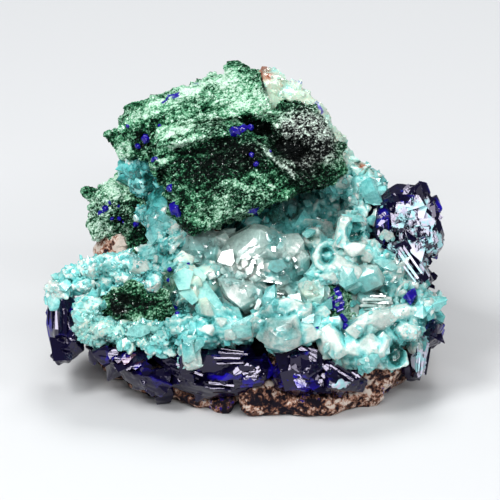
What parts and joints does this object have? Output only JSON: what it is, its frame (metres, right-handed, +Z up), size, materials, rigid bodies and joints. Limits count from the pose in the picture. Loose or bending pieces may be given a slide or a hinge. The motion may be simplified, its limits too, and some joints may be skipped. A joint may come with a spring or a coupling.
{
  "type": "aurichalcite with cerussite specimen",
  "caption": "Mineral specimen: rock with a turquoise crust, clear and blue crystals round a hollow, and a green block over it. Rests on its flat underside.",
  "frame": {"origin": "on the flat underside, below the middle of the specimen", "axes": "+Z up, +X to the right as seen from the front, +Y away from the viewer"},
  "size_m": [0.06, 0.0409, 0.0438],
  "materials": {
    "matrix_rock": "rough brown to orange-pink rock",
    "aurichalcite": "silky turquoise crust with pale tips",
    "cerussite": "clear to greyish crystal with a very bright lustre",
    "malachite": "sparkling green, pale mint to near black",
    "azurite": "glossy dark blue crystal"
  },
  "bodies": {
    "root": {"matrix": "matrix_rock", "aurichalcite_crust": "aurichalcite", "cerussite_cluster": "cerussite", "cerussite_right": "cerussite", "malachite_cap": "malachite", "left_malachite": "malachite", "patch_malachite": "malachite", "centre_malachite": "malachite", "azurite_left": "azurite", "azurite_front_left": "azurite", "azurite_front_centre": "azurite", "azurite_front_right": "azurite", "azurite_right_ridge": "azurite", "azurite_right_corner": "azurite"}
  },
  "joints": []
}
